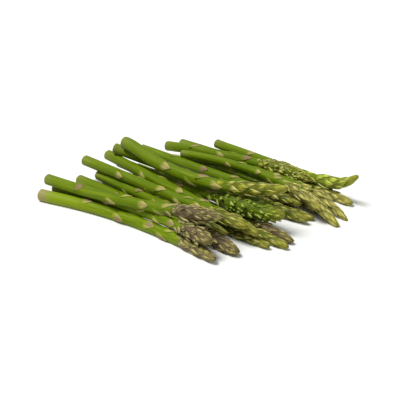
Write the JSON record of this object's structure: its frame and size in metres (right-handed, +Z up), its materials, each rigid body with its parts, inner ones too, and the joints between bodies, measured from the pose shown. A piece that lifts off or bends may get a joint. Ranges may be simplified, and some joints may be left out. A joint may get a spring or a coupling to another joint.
{
  "type": "asparagus bundle",
  "caption": "A loose bundle of fresh green asparagus lying in a low heap, cut ends one way and scaly heads the other, ready to wash, trim or cook.",
  "frame": {"origin": "on the table, under the middle of the heap's box", "axes": "+Z up, +X from the cut butts to the heads, +Y across the heap"},
  "size_m": [0.2482, 0.2034, 0.0452],
  "materials": {
    "green_spear": "satin plant skin, bright green",
    "pale_spear": "satin plant skin, yellower green",
    "olive_spear": "satin plant skin, green with an olive to purple-grey head"
  },
  "bodies": {
    "root": {"spear_01": "pale_spear", "spear_02": "olive_spear", "spear_03": "green_spear", "spear_04": "green_spear", "spear_05": "olive_spear", "spear_06": "green_spear", "spear_07": "green_spear", "spear_08": "olive_spear", "spear_09": "green_spear", "spear_10": "green_spear", "spear_11": "olive_spear", "spear_12": "green_spear", "spear_13": "green_spear", "spear_14": "olive_spear", "spear_15": "green_spear", "spear_16": "green_spear", "spear_17": "green_spear", "spear_18": "green_spear", "spear_19": "pale_spear", "spear_20": "green_spear", "spear_21": "green_spear", "spear_22": "green_spear", "spear_23": "pale_spear"}
  },
  "joints": []
}
